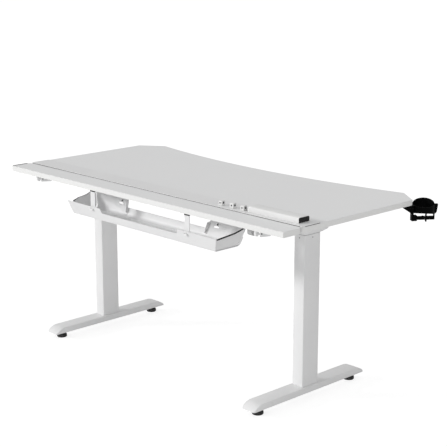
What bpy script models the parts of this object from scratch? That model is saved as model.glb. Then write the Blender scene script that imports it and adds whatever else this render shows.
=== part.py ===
"""Electric height-adjustable desk, standing on the floor at its lowest height.

Metres, +Z up. +X is to the seated user's right, +Y points from the user to the rear edge;
"left" and "right" are the seated user's. Everything is laid out from the point midway between
the two columns; the last step moves the whole desk so that the origin is on the floor under
the middle of its bounding box.
"""
import math

import bmesh
import bpy
from mathutils import Matrix, Vector

# ---------------------------------------------------------------- shared dimensions
GAP = 0.0003                 # clearance kept between touching pieces

TOP_LENGTH = 1.600           # desktop, along X
TOP_HEIGHT = 0.742           # upper surface above the floor
TOP_THICK = 0.021
HALF_LENGTH = TOP_LENGTH / 2
UNDER = TOP_HEIGHT - TOP_THICK   # underside of the board
MOUNT_Z = UNDER - GAP        # top of the pieces fixed under the board

COLUMN_X = 0.600             # column centres, either side of the middle
COL_W, COL_D = 0.0525, 0.0865    # outer tube section, X by Y
COL_WALL = 0.0020
COL_TOP = 0.6425
BORE_W, BORE_D = COL_W - 2 * COL_WALL, COL_D - 2 * COL_WALL
IN_W, IN_D = 0.0410, 0.0725  # inner tube section, X by Y
IN_WALL = 0.0018
IN_BOTTOM = 0.075

GEAR_APEX_Z = 0.6905         # where spindle axis and motor axis meet
FLAP_PIVOT_Y = 0.247
CABLE_Y, CABLE_Z = -0.070, UNDER - 0.0150   # where the motor cables enter the gear housings

CENTRE_SHIFT = (0.02825, 0.05968, 0.0)   # from midway between the columns to the final origin

SIDES = (("left", -1.0), ("right", 1.0))
YZ = (math.pi / 2, 0.0, math.pi / 2)     # outline drawn as (Y, Z), thick along X
XZ = (math.pi / 2, 0.0, 0.0)             # outline drawn as (X, Z), thick along Y

# ---------------------------------------------------------------- materials
WHITE_STEEL = dict(colour=(0.80, 0.80, 0.80), roughness=0.45, metallic=0.0)
WHITE_BOARD = dict(colour=(0.82, 0.82, 0.82), roughness=0.50, metallic=0.0)
WHITE_PLASTIC = dict(colour=(0.84, 0.84, 0.84), roughness=0.35, metallic=0.0)
BLACK_PLASTIC = dict(colour=(0.015, 0.015, 0.015), roughness=0.45, metallic=0.0)
GREY_PLASTIC = dict(colour=(0.42, 0.42, 0.42), roughness=0.50, metallic=0.0)
BLACK_RUBBER = dict(colour=(0.010, 0.010, 0.010), roughness=0.80, metallic=0.0)
ZINC = dict(colour=(0.55, 0.56, 0.58), roughness=0.30, metallic=1.0)
STEEL = dict(colour=(0.45, 0.46, 0.48), roughness=0.28, metallic=1.0)


def material(name, colour, roughness, metallic):
    mat = bpy.data.materials.new(name)
    mat.use_nodes = True
    shader = mat.node_tree.nodes.get("Principled BSDF")
    shader.inputs["Base Color"].default_value = (*colour, 1.0)
    shader.inputs["Roughness"].default_value = roughness
    shader.inputs["Metallic"].default_value = metallic
    mat.diffuse_color = (*colour, 1.0)
    return mat


# ---------------------------------------------------------------- scene
for old in list(bpy.data.objects):
    bpy.data.objects.remove(old, do_unlink=True)

parts = bpy.data.collections.new("height_adjustable_desk")
bpy.context.scene.collection.children.link(parts)


def link(name, data, location=(0, 0, 0), rotation=(0, 0, 0)):
    ob = bpy.data.objects.new(name, data)
    ob.location = location
    ob.rotation_euler = rotation
    bpy.context.scene.collection.objects.link(ob)
    return ob


def empty(name, location):
    ob = bpy.data.objects.new(name, None)
    ob.location = location
    parts.objects.link(ob)
    bpy.context.view_layer.update()
    return ob


def finish(ob, look, carrier=None, smooth=False):
    """Give a piece its own material, file it with the parts and hang it on its carrier."""
    ob.data.materials.clear()
    ob.data.materials.append(material(ob.name + "_mat", **look))
    for collection in list(ob.users_collection):
        collection.objects.unlink(ob)
    parts.objects.link(ob)
    if smooth:
        ob.data.shade_smooth()
        ob.data.set_sharp_from_angle(angle=math.radians(35))
    if carrier:
        bpy.context.view_layer.update()
        ob.parent = carrier
        ob.matrix_parent_inverse = carrier.matrix_world.inverted()


# ---------------------------------------------------------------- outlines
def rounded(points, radii, steps):
    """Closed polygon with each corner replaced by an arc of its own radius."""
    out = []
    for i, (p, r) in enumerate(zip(points, radii)):
        p = Vector(p)
        if r <= 0:
            out.append((p.x, p.y))
            continue
        before = (Vector(points[i - 1]) - p).normalized()
        after = (Vector(points[(i + 1) % len(points)]) - p).normalized()
        half = math.acos(max(-1.0, min(1.0, before.dot(after)))) / 2
        reach = r / math.tan(half)
        centre = p + (before + after).normalized() * (r / math.sin(half))
        start = p + before * reach - centre
        end = p + after * reach - centre
        turn = math.atan2(start.x * end.y - start.y * end.x, start.dot(end))
        for k in range(steps + 1):
            t = turn * k / steps
            out.append((centre.x + start.x * math.cos(t) - start.y * math.sin(t),
                        centre.y + start.x * math.sin(t) + start.y * math.cos(t)))
    return out


def rect(width, depth, radius, steps, cy=0.0):
    points = [(-width / 2, cy - depth / 2), (width / 2, cy - depth / 2),
              (width / 2, cy + depth / 2), (-width / 2, cy + depth / 2)]
    return rounded(points, [radius] * 4, steps)


def block_profile(y_span, z_span, low_radius, high_radius, steps):
    (y0, y1), (z0, z1) = y_span, z_span
    return rounded([(y0, z0), (y1, z0), (y1, z1), (y0, z1)],
                   [low_radius, low_radius, high_radius, high_radius], steps)


def circle(radius, cx, cy, sides=12):
    angles = [2 * math.pi * (k + 0.5) / sides for k in range(sides)]
    return [(cx + radius * math.cos(a), cy + radius * math.sin(a)) for a in angles]


def mirrored(points, s):
    """Points drawn for the right side, moved to side s."""
    return [(s * x, y) for x, y in points]


def around(centre, half):
    return centre - half, centre + half


# ---------------------------------------------------------------- shapes
def to_mesh(ob):
    """The evaluated object as a welded mesh object of the same name and place."""
    graph = bpy.context.evaluated_depsgraph_get()
    graph.update()
    mesh = bpy.data.meshes.new_from_object(ob.evaluated_get(graph))
    bm = bmesh.new()
    bm.from_mesh(mesh)
    bmesh.ops.remove_doubles(bm, verts=bm.verts, dist=0.00001)
    bm.to_mesh(mesh)
    bm.free()
    name, place = ob.name, ob.matrix_world.copy()
    bpy.data.objects.remove(ob, do_unlink=True)
    new = link(name, mesh)
    new.matrix_world = place
    return new


def add_bevel(ob, width, segments):
    bevel = ob.modifiers.new("edges", "BEVEL")
    bevel.width = width
    bevel.segments = segments
    return bevel


def bevelled(ob, width, segments, degrees):
    """Bevel every edge sharper than the angle, applied."""
    add_bevel(ob, width, segments).angle_limit = math.radians(degrees)
    return to_mesh(ob)


def box(name, x_span, y_span, z_span, bevel=0.0, segments=1):
    """Box between the spans; its own origin is its centre."""
    spans = (x_span, y_span, z_span)
    mesh = bpy.data.meshes.new(name)
    bm = bmesh.new()
    bmesh.ops.create_cube(bm, size=1.0)
    bmesh.ops.scale(bm, vec=[high - low for low, high in spans], verts=bm.verts)
    bm.to_mesh(mesh)
    bm.free()
    ob = link(name, mesh, [(low + high) / 2 for low, high in spans])
    if bevel:
        add_bevel(ob, bevel, segments)
    return ob


def rod(radius, axis, across, span, sides):
    """Cylinder along an axis; across holds its two other coordinates, in axis order."""
    ends = []
    for end in span:
        point = list(across)
        point.insert("xyz".index(axis), end)
        ends.append(Vector(point))
    a, b = ends
    mesh = bpy.data.meshes.new("rod")
    bm = bmesh.new()
    bmesh.ops.create_cone(bm, cap_ends=True, segments=sides, radius1=radius, radius2=radius,
                          depth=(b - a).length)
    bm.to_mesh(mesh)
    bm.free()
    return link("rod", mesh, (a + b) / 2, (b - a).to_track_quat("Z", "Y").to_euler())


def plate(name, loops, thick, location=(0, 0, 0), rotation=(0, 0, 0), matrix=None):
    """Flat outline (first loop) with holes (further loops), thick about its mid-plane."""
    curve = bpy.data.curves.new(name, "CURVE")
    curve.dimensions = "2D"
    curve.fill_mode = "BOTH"
    curve.extrude = thick / 2
    for loop in loops:
        spline = curve.splines.new("POLY")
        spline.points.add(len(loop) - 1)
        for point, (x, y) in zip(spline.points, loop):
            point.co = (x, y, 0.0, 1.0)
        spline.use_cyclic_u = True
    ob = link(name, curve, location, rotation)
    if matrix:
        ob.matrix_world = matrix
        bpy.context.view_layer.update()
    return to_mesh(ob)


def plane_matrix(across, up, origin):
    """Placement of an outline whose local X and Y run along two given directions."""
    matrix = Matrix((across, up, across.cross(up))).transposed().to_4x4()
    matrix.translation = Vector(origin)
    return matrix


def turned(name, profile, location, rotation=(0, 0, 0), steps=24, closed=False):
    """Profile of (radius, height) turned about local Z."""
    mesh = bpy.data.meshes.new(name)
    edges = [(i, i + 1) for i in range(len(profile) - 1)]
    if closed:
        edges.append((len(profile) - 1, 0))
    mesh.from_pydata([(r, 0.0, z) for r, z in profile], edges, [])
    ob = link(name, mesh, location, rotation)
    screw = ob.modifiers.new("turn", "SCREW")
    screw.axis = "Z"
    screw.angle = 2 * math.pi
    screw.steps = steps
    screw.render_steps = steps
    screw.use_merge_vertices = True
    screw.merge_threshold = 0.00005
    return ob


def wire(name, points, radius):
    curve = bpy.data.curves.new(name, "CURVE")
    curve.dimensions = "3D"
    curve.bevel_depth = radius
    curve.bevel_resolution = 1
    curve.use_fill_caps = True
    spline = curve.splines.new("POLY")
    spline.points.add(len(points) - 1)
    for point, place in zip(spline.points, points):
        point.co = (*place, 1.0)
    return to_mesh(link(name, curve))


def smooth_path(points, per):
    """Catmull-Rom path through the points, with per steps between neighbours."""
    pts = [Vector(p) for p in points]
    ext = [pts[0] * 2 - pts[1]] + pts + [pts[-1] * 2 - pts[-2]]
    out = []
    for i in range(1, len(ext) - 2):
        p0, p1, p2, p3 = ext[i - 1:i + 3]
        for k in range(per):
            t = k / per
            out.append(0.5 * ((2 * p1) + (p2 - p0) * t + (2 * p0 - 5 * p1 + 4 * p2 - p3) * t * t
                              + (3 * p1 - p0 - 3 * p2 + p3) * t ** 3))
    out.append(pts[-1])
    return out


def combine(ob, others, operation):
    """Apply one boolean per other mesh, in order, and remove the others."""
    for other in others:
        modifier = ob.modifiers.new(operation.lower(), "BOOLEAN")
        modifier.object = other
        modifier.operation = operation
        modifier.solver = "EXACT"
    bpy.context.view_layer.update()
    new = to_mesh(ob)
    for other in others:
        bpy.data.objects.remove(other, do_unlink=True)
    return new


def fuse(ob, *others):
    return combine(ob, others, "UNION")


def cut(ob, *others):
    return combine(ob, others, "DIFFERENCE")


def keep_within(ob, other):
    return combine(ob, [other], "INTERSECT")


lift_frame = empty("lift_frame", (0, 0, UNDER))
flap_axis = empty("flap_axis", (0, FLAP_PIVOT_Y, TOP_HEIGHT))

# ================================================================ feet and outer columns
FOOT_TOP, FOOT_BOTTOM = 0.050, 0.025
FOOT_W, FOOT_HALF = 0.070, 0.310     # width along X, half length along Y
FOOT_WALL = 0.0025
FOOT_CORNER_R = 0.016
FLAT_HALF = 0.266                    # half length of the flat top
# (outwards along Y, up) from the end of the flat top to the toe
NOSE = [(0.0, 0.0), (0.0155, -0.0036), (0.0300, -0.0116), (0.0405, -0.0210)]
LEVEL_Y = 0.2570                     # levelling feet, fore and aft of the column
BOSS_R, LEVEL_BORE_R = 0.0085, 0.0043

STUD_AT = [(sx * 0.0130, sy * 0.0290) for sx in (-1, 1) for sy in (-1, 1)]
STUD_R, STUD_HOLE_R = 0.0040, 0.0044

LUG_Z, LUG_R = 0.6310, 0.0026
COLLAR_PLAY = 0.0006                 # added to the inner tube and taken off the outer bore

# (radius, height)
NUT_TUBE_PROFILE = [
    (0.0063, 0.5703), (0.0140, 0.5703), (0.0140, 0.5403), (0.0130, 0.5380),
    (0.0130, 0.0560), (0.0095, 0.0560), (0.0095, 0.5380), (0.0063, 0.5403)]
LEVELLING_PROFILE = [
    (0, 0.0440), (0.0040, 0.0440), (0.0040, 0.0170), (0.0100, 0.0165), (0.0190, 0.0135),
    (0.0215, 0.0100), (0.0220, 0.0025), (0.0205, 0.0), (0, 0.0)]


def foot_profile(inset=0.0, bottom=FOOT_BOTTOM, top=FOOT_TOP):
    """Side view (Y, Z), the same fore and aft."""
    half = [(FLAT_HALF + dy - inset * 0.8, top + dz) for dy, dz in NOSE]
    half.append((FOOT_HALF - inset, bottom))
    return half + [(-y, z) for y, z in reversed(half)]


def foot(side, x):
    """Hollow foot, open below, with a bored boss near each end."""
    body = plate(f"foot_{side}", [foot_profile()], FOOT_W, (x, 0, 0), YZ)
    body = bevelled(body, 0.0022, 2, 50)
    plan = rect(FOOT_W + 0.002, 2 * FOOT_HALF, FOOT_CORNER_R, 5)
    body = keep_within(body, plate("foot_plan", [plan], 0.20, (x, 0, 0.05)))
    inside = foot_profile(0.006, FOOT_BOTTOM - 0.01, FOOT_TOP - FOOT_WALL)
    body = cut(body, plate("foot_hollow", [inside], FOOT_W - 2 * FOOT_WALL, (x, 0, 0), YZ))
    bosses = [rod(BOSS_R, "z", (x, k * LEVEL_Y), (0.0300, 0.0482), 16) for k in (-1, 1)]
    bores = [rod(LEVEL_BORE_R, "z", (x, k * LEVEL_Y), (0.0200, 0.0462), 14) for k in (-1, 1)]
    holes = [rod(STUD_HOLE_R, "z", (x + dx, y), (0.04, 0.06), 12) for dx, y in STUD_AT]
    finish(cut(fuse(body, *bosses), *bores, *holes), WHITE_STEEL)


def foot_plate(side, x):
    """Backing plate inside the foot, with four studs that hold the column's flange."""
    backing = plate(f"foot_plate_{side}", [rect(0.060, 0.150, 0.004, 2)], 0.005, (x, 0, 0.0446))
    studs = [rod(STUD_R, "z", (x + dx, y), (0.0440, 0.0632), 12) for dx, y in STUD_AT]
    finish(fuse(backing, *studs), ZINC, smooth=True)


def outer_column(side, x):
    """Outer tube with a round window in each wall for the collar's lugs."""
    section = [rect(COL_W, COL_D, 0.0028, 3), rect(BORE_W, BORE_D, 0.0018, 3)]
    tube = plate(f"column_outer_{side}", section, COL_TOP - FOOT_TOP - GAP,
                 (x, 0, (COL_TOP + FOOT_TOP + GAP) / 2))
    windows = [rod(LUG_R + GAP, "x", (0, LUG_Z), (x - 0.05, x + 0.05), 14),
               rod(LUG_R + GAP, "y", (x, LUG_Z), (-0.06, 0.06), 14)]
    finish(cut(tube, *windows), WHITE_STEEL)


def nut_tube(side, x):
    """Fixed inner post with the spindle's nut at its head, on a flange held by the studs."""
    loops = [rect(BORE_W - 0.001, BORE_D - 0.001, 0.0018, 3)]
    loops += [circle(STUD_HOLE_R, dx, y) for dx, y in STUD_AT]
    flange = plate("flange", loops, 0.008, (x, 0, 0.0546))
    post = to_mesh(turned(f"nut_tube_{side}", NUT_TUBE_PROFILE, (x, 0, 0), steps=20, closed=True))
    finish(fuse(post, flange), ZINC, smooth=True)


def glide_collar(side, x):
    """Collar in the mouth of the outer tube, held by round lugs in the tube's windows."""
    opening = rect(IN_W + COLLAR_PLAY, IN_D + COLLAR_PLAY, 0.0068, 4)
    outside = rect(BORE_W - COLLAR_PLAY, BORE_D - COLLAR_PLAY, 0.0016, 3)
    rim_outside = rect(COL_W - 0.0024, COL_D - 0.0024, 0.0030, 3)
    sleeve = plate(f"glide_collar_{side}", [outside, opening], 0.0410, (x, 0, COL_TOP - 0.0197))
    rim = plate("rim", [rim_outside, opening], 0.0011, (x, 0, COL_TOP + GAP + 0.00055))
    lugs = []
    for k in (-1, 1):
        x_span = (x + k * (IN_W / 2 + 0.0012), x + k * (COL_W / 2 + 0.0006))
        y_span = (k * (IN_D / 2 + 0.0012), k * (COL_D / 2 + 0.0006))
        lugs.append(rod(LUG_R, "x", (0, LUG_Z), x_span, 14))
        lugs.append(rod(LUG_R, "y", (x, LUG_Z), y_span, 14))
    finish(fuse(sleeve, rim, *lugs), GREY_PLASTIC)


def levelling_feet(side, x):
    """Round pads on upright studs that enter the foot's bosses."""
    for end, t in (("front", -1.0), ("rear", 1.0)):
        place = (x, t * LEVEL_Y, 0)
        axis = empty(f"levelling_axis_{end}_{side}", place)
        pad = turned(f"levelling_foot_{end}_{side}", LEVELLING_PROFILE, place)
        finish(pad, BLACK_PLASTIC, axis)


# ================================================================ lifting tubes, drive and frame
HOUSING_W, HOUSING_WALL = 0.0545, 0.003
HOUSING_Y0, HOUSING_Y1 = -0.092, 0.043
HOUSING_Z0, HOUSING_Z1 = 0.6445, 0.7174
MOTOR_Y = -0.031                     # rear end of the motor
DESK_SCREW_Y, DESK_SCREW_DX = (0.205, 0.090, -0.130, -0.235), 0.022

BRACKET_HALF_W = 0.033
BRACKET_FLANGE_X, BRACKET_FLANGE_T = 0.0320, 0.0020
BRACKET_Y0, BRACKET_Y1 = -0.256, 0.230
CROSSBARS = (("crossbar_rear", 0.034), ("crossbar_front", -0.034))   # name, Y

# (radius, distance forwards), used on axes that point to the front
MOTOR_PROFILE = [
    (0, 0.055), (0.0175, 0.055), (0.0185, 0.054), (0.0185, 0.001), (0.0175, 0.0),
    (0.0046, 0.0), (0.0046, 0.016), (0, 0.016)]
SHAFT_PROFILE = [
    (0, 0.0460), (0.0042, 0.0460), (0.0042, 0.0240), (0.0077, 0.0235), (0.0077, 0.0155),
    (0.0050, 0.0105), (0, 0.0105)]
FORWARDS = (math.pi / 2, 0, 0)       # turns local Z to point to the front
# (radius, height): bevel wheel at the head, then the long plain spindle
SPINDLE_PROFILE = [
    (0, GEAR_APEX_Z - 0.0058), (0.0100, GEAR_APEX_Z - 0.0063), (0.0150, GEAR_APEX_Z - 0.0090),
    (0.0150, GEAR_APEX_Z - 0.0170), (0.0100, GEAR_APEX_Z - 0.0190),
    (0.0060, GEAR_APEX_Z - 0.0190), (0.0060, 0.0860), (0.0050, 0.0850), (0, 0.0850)]


def inner_column(side, x):
    section = [rect(IN_W, IN_D, 0.0065, 4),
               rect(IN_W - 2 * IN_WALL, IN_D - 2 * IN_WALL, 0.0048, 4)]
    top = HOUSING_Z0 - GAP
    tube = plate(f"column_inner_{side}", section, top - IN_BOTTOM, (x, 0, (top + IN_BOTTOM) / 2))
    finish(tube, WHITE_STEEL, lift_frame)


def gear_housing(side, s, x):
    """Rounded box, open on top under the bracket, chamfered along its front underside."""
    cy, depth = (HOUSING_Y0 + HOUSING_Y1) / 2, HOUSING_Y1 - HOUSING_Y0
    height, middle = HOUSING_Z1 - HOUSING_Z0, (HOUSING_Z0 + HOUSING_Z1) / 2
    bottom = HOUSING_Z0
    shell = plate(f"gear_housing_{side}", [rect(HOUSING_W, depth, 0.010, 5, cy)], height,
                  (x, 0, middle))
    inside = rect(HOUSING_W - 2 * HOUSING_WALL, depth - 2 * HOUSING_WALL, 0.007, 3, cy)
    cavity = plate("cavity", [inside], height, (x, 0, middle + 0.004))
    wedge = plate("wedge", [[(-0.050, bottom - 0.02), (-0.050, bottom - 0.0001),
                             (-0.110, bottom + 0.0110), (-0.110, bottom - 0.02)]],
                  0.08, (x, 0, 0), YZ)
    # the cavity's floor rises above the chamfer
    floor_wedge = plate("floor_wedge", [[(-0.0500, bottom + 0.0030), (-0.0500, bottom + 0.0041),
                                         (-0.0950, bottom + 0.0130),
                                         (-0.0950, bottom + 0.0030)]], 0.08, (x, 0, 0), YZ)
    cavity = cut(cavity, floor_wedge)
    spindle_bore = rod(0.0080, "z", (x, 0), around(bottom, 0.01), 16)
    cable_port = rod(0.0034, "x", (CABLE_Y, CABLE_Z), (x - s * 0.030, x - s * 0.020), 12)
    finish(cut(shell, cavity, wedge, spindle_bore, cable_port), WHITE_STEEL, lift_frame)


def motor(side, x):
    """Motor can with a blind bore in its rear end for the shaft."""
    can = turned(f"motor_{side}", MOTOR_PROFILE, (x, MOTOR_Y, GEAR_APEX_Z), FORWARDS)
    finish(to_mesh(can), STEEL, lift_frame, smooth=True)


def desk_screws(s):
    """Places (x, y) of the screws between one side bracket and the board."""
    return [(s * COLUMN_X + k * DESK_SCREW_DX, y)
            for y, k in zip(DESK_SCREW_Y, (-1, 1, -1, 1))]


def side_bracket(side, s, x):
    """Steel channel under the board, deepest beside the column."""
    bracket = box(f"side_bracket_{side}", around(x, BRACKET_HALF_W), (BRACKET_Y0, BRACKET_Y1),
                  (UNDER - 0.0033, MOUNT_Z))
    profile = rounded([(BRACKET_Y1, MOUNT_Z), (BRACKET_Y1, UNDER - 0.012),
                       (0.110, UNDER - 0.030), (-0.120, UNDER - 0.030),
                       (BRACKET_Y0, UNDER - 0.012), (BRACKET_Y0, MOUNT_Z)],
                      [0, 0.004, 0.02, 0.02, 0.004, 0], 3)
    flanges = [plate("bracket_flange", [profile], BRACKET_FLANGE_T,
                     (x + k * BRACKET_FLANGE_X, 0, 0), YZ) for k in (-1, 1)]
    holes = [rod(0.0026, "z", at, around(UNDER, 0.01), 10) for at in desk_screws(s)]
    holes.append(rod(0.0042, "x", (CABLE_Y, CABLE_Z), (x - s * 0.036, x - s * 0.028), 12))
    finish(cut(fuse(bracket, *flanges), *holes), WHITE_STEEL, lift_frame)


def crossbars():
    """Two hollow bars that run between the side brackets."""
    half = COLUMN_X - BRACKET_HALF_W - GAP
    for name, y in CROSSBARS:
        bar = plate(name, [rect(0.030, 0.020, 0.002, 2), rect(0.027, 0.017, 0.0008, 1)],
                    2 * half, (0, y, UNDER - 0.0185), YZ)
        finish(bar, WHITE_STEEL, lift_frame)


def control_box():
    body = box("control_box", (-0.150, 0.120), (-0.195, -0.095), (UNDER - 0.0303, MOUNT_Z),
               bevel=0.003, segments=2)
    finish(body, BLACK_PLASTIC, lift_frame)


def spindle(side, x):
    axis = empty(f"spindle_axis_{side}", (x, 0, GEAR_APEX_Z))
    body = turned(f"spindle_{side}", SPINDLE_PROFILE, (x, 0, 0), steps=20)
    finish(to_mesh(body), STEEL, axis, smooth=True)


def motor_shaft(side, x):
    """Shaft with the bevel pinion at its rear end."""
    apex = (x, 0, GEAR_APEX_Z)
    axis = empty(f"motor_axis_{side}", apex)
    body = turned(f"motor_shaft_{side}", SHAFT_PROFILE, apex, FORWARDS, steps=20)
    finish(to_mesh(body), STEEL, axis, smooth=True)


# ================================================================ desktop
BOARD_REAR_Y = 0.2437
BOARD_CORNER_R = 0.012       # the board's and the strip's corners beside the seam
FRONT_CORNER_R = 0.012       # where the chamfer meets the short edge
FRONT_MID_Y = -0.369         # user's edge at the middle of the concave arc
FRONT_ARC_R = 3.390
ARC_STEPS = 40
TIP_X = 0.697                # where the arc ends and the corner chamfer starts
EASE_X, EASE_Y = 0.003, -0.0012   # one point just past each tip eases into the chamfer
CHAMFER_SIDE_Y = -0.367      # where the chamfer meets the short edge

LIP_Y0, LIP_Y1 = 0.2440, 0.2455   # bent lip of the steel strip, in the seam
LIP_BOTTOM = TOP_HEIGHT - 0.0195
STRIP_FRONT_Y, STRIP_T = 0.154, 0.0015
STRIP_Z = TOP_HEIGHT + GAP
STRIP_TOP = STRIP_Z + STRIP_T + GAP   # where the pieces on the strip stand

CLIP_X = (-0.3690, -0.4288, -0.4840)
CLIP_W, CLIP_H = 0.0180, 0.0185
CLIP_Y0, CLIP_Y1 = 0.2100, 0.2275
TUNNEL_Y, TUNNEL_Z, TUNNEL_R = 0.2180, STRIP_TOP + 0.0105, 0.0040

COVER_X0, COVER_X1 = -0.759, -0.509
COVER_Y, COVER_W, COVER_H, COVER_WALL = 0.1955, 0.0555, 0.0205, 0.0016


def arc_y(x):
    return FRONT_MID_Y - FRONT_ARC_R + math.sqrt(FRONT_ARC_R ** 2 - x * x)


def desk_top():
    """Board with a concave user's edge, chamfered front corners and blind screw holes."""
    stations = [TIP_X * (2 * k / ARC_STEPS - 1) for k in range(ARC_STEPS + 1)]   # left to right
    ease_y = arc_y(TIP_X) + EASE_Y
    front = [(-TIP_X - EASE_X, ease_y)] + [(x, arc_y(x)) for x in stations]
    front.append((TIP_X + EASE_X, ease_y))
    outline = [(HALF_LENGTH, BOARD_REAR_Y), (-HALF_LENGTH, BOARD_REAR_Y),
               (-HALF_LENGTH, CHAMFER_SIDE_Y), *front, (HALF_LENGTH, CHAMFER_SIDE_Y)]
    radii = [BOARD_CORNER_R, BOARD_CORNER_R, FRONT_CORNER_R, *[0.0] * len(front), FRONT_CORNER_R]
    board = plate("desk_top", [rounded(outline, radii, 4)], TOP_THICK,
                  (0, 0, TOP_HEIGHT - TOP_THICK / 2))
    board = bevelled(board, 0.0010, 1, 60)
    pilots = [rod(0.0024, "z", at, (UNDER - 0.01, UNDER + 0.0145), 8)
              for _, s in SIDES for at in desk_screws(s)]
    finish(cut(board, *pilots), WHITE_BOARD, lift_frame)


def magnetic_strip():
    """One bent sheet: top leaf on the board, lip turned down into the seam."""
    profile = rounded([(LIP_Y1, LIP_BOTTOM), (LIP_Y1, STRIP_Z + STRIP_T),
                       (STRIP_FRONT_Y, STRIP_Z + STRIP_T), (STRIP_FRONT_Y, STRIP_Z),
                       (LIP_Y0, STRIP_Z), (LIP_Y0, LIP_BOTTOM)], [0, 0.0012, 0, 0, 0, 0], 3)
    strip = plate("magnetic_strip", [profile], 2 * (HALF_LENGTH - 0.001), (0, 0, 0), YZ)
    half, front, rear = HALF_LENGTH - 0.0005, 0.140, LIP_Y1 + 0.0001
    plan = rounded([(-half, front), (half, front), (half, rear), (-half, rear)],
                   [0, 0, BOARD_CORNER_R, BOARD_CORNER_R], 4)
    strip = keep_within(strip, plate("strip_plan", [plan], 0.06, (0, 0, TOP_HEIGHT)))
    finish(strip, WHITE_STEEL, lift_frame)


def cable_clips():
    """Small blocks with a tunnel along X, slit open upwards, and a round hole in the rear."""
    for i, x in enumerate(CLIP_X):
        profile = block_profile((CLIP_Y0, CLIP_Y1), (STRIP_TOP, STRIP_TOP + CLIP_H),
                                0.0010, 0.0040, 4)
        clip = plate(f"cable_clip_{i + 1}", [profile], CLIP_W, (x, 0, 0), YZ)
        clip = bevelled(clip, 0.0008, 1, 60)
        tunnel = rod(TUNNEL_R, "x", (TUNNEL_Y, TUNNEL_Z), around(x, 0.02), 18)
        slit = box("slit", around(x, 0.02), (0.2171, 0.2189), (TUNNEL_Z, TUNNEL_Z + 0.02))
        rear_hole = rod(0.0024, "y", (x, TUNNEL_Z), (0.2190, 0.2400), 14)
        finish(cut(clip, tunnel, slit, rear_hole), WHITE_PLASTIC, lift_frame)


def cable_cover():
    """Rounded hollow channel on the strip, open at both ends."""
    (y0, y1), z0, z1 = around(COVER_Y, COVER_W / 2), STRIP_TOP, STRIP_TOP + COVER_H
    outside = block_profile((y0, y1), (z0, z1), 0.0005, 0.0062, 5)
    inside = block_profile((y0 + COVER_WALL, y1 - COVER_WALL),
                           (z0 + COVER_WALL, z1 - COVER_WALL), 0.0005, 0.0047, 5)
    cover = plate("cable_cover", [outside, inside], COVER_X1 - COVER_X0,
                  ((COVER_X0 + COVER_X1) / 2, 0, 0), YZ)
    finish(cover, WHITE_PLASTIC, lift_frame)


# ================================================================ cable tray and its supports
TRAY_Z, TRAY_T = 0.592, 0.0015         # underside and sheet thickness
TOP_X, BOT_X = 0.4435, 0.4250          # half lengths of the tray at its rim and at its base
TRAY_END_X = TOP_X + 0.005             # half length before the ends are cut to their lean
TRAY_Y0, TRAY_Y1 = 0.1800, 0.3045      # front and rear folds
FRONT_RUN = (-0.014, 0.064)            # (Y, Z) the front wall covers
REAR_RUN = (0.015, 0.053)              # (Y, Z) the rear wall covers
BEND_F, BEND_R = 0.0160, 0.0040        # fold radii at the front and the rear
TRAY_LOW = 0.0350                      # height of the front wall between the end pieces
LEAN = math.atan2(TOP_X - BOT_X, REAR_RUN[1])   # of the tray's ends, outwards
# rear wall between its tall corners: (x, height above the tray's base)
REAR_DIP = [(-0.2330, 0.0700), (-0.2290, 0.0335), (0.2290, 0.0335), (0.2330, 0.0700)]
# floor slots beside the front fold: X spans
TRAY_SLOTS = ((-0.415, -0.310), (-0.213, -0.126), (-0.118, -0.004),
              (0.004, 0.118), (0.126, 0.213), (0.310, 0.415))
FLOOR_SLOT_Y = (0.2000, 0.2030)
FLOOR_SLOT_Z = around(TRAY_Z, 0.01)
HOOK_X = 0.2810                        # hangers, either side of the middle

END_X, END_Z = BOT_X - 0.0035, 0.5942  # foot of the end plates
STRETCH = 1 / math.cos(LEAN)           # heights measured along the leaning end plate
# (Y, distance up the end plate) and the corner radii
END_OUTLINE = [
    (0.2040, 0.0), (0.2980, 0.0), (0.3000, 0.0002), (0.3143, 0.0490 * STRETCH),
    (0.2630, 0.0545 * STRETCH), (0.2240, 0.0595 * STRETCH), (0.1885, 0.0690 * STRETCH),
    (0.1755, 0.0650 * STRETCH), (0.1738, 0.0560 * STRETCH), (0.1840, 0.0120)]
END_RADII = [0, 0, 0, 0.001, 0.05, 0.05, 0.003, 0.003, 0.004, 0.012]
RIGHT_REAR_CORNER = (0.2950, 0.0430 * STRETCH)   # the right plate stops short of the rear wall
# where the front leaves start at the floor, and how far they lean out per unit of height
LEAF_START = {-1.0: (0.2337, 0.2857), 1.0: (0.2290, 0.0200)}
LEAF_INNER_X, LEAF_T = 0.2150, 0.0012
# return flange: (Y, distance along the leaf's free edge)
RETURN_OUTLINE = [(0.1794, 0.0062), (0.1690, 0.0550), (0.1825, 0.0535), (0.1878, 0.0080)]
# trim along the end plates' upper edges: (Y, height above their foot)
TRIM_LEFT = [
    (0.3120, 0.0450), (0.2890, 0.0476), (0.2630, 0.0505), (0.2420, 0.0530),
    (0.2240, 0.0556), (0.2060, 0.0605), (0.1830, 0.0680)]
TRIM_RIGHT = [(0.2925, 0.0424), (0.2800, 0.0458)] + TRIM_LEFT[2:]


def hook_at(s):
    """Middle of a hanger's hook, off to one side of its strap."""
    return s * HOOK_X - (0.0145 if s > 0 else 0.0205)


def rest_at(s):
    """Middle of a flap rest and of its slot in the tray's rear wall."""
    return s * 0.2825 + 0.0040


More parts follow.
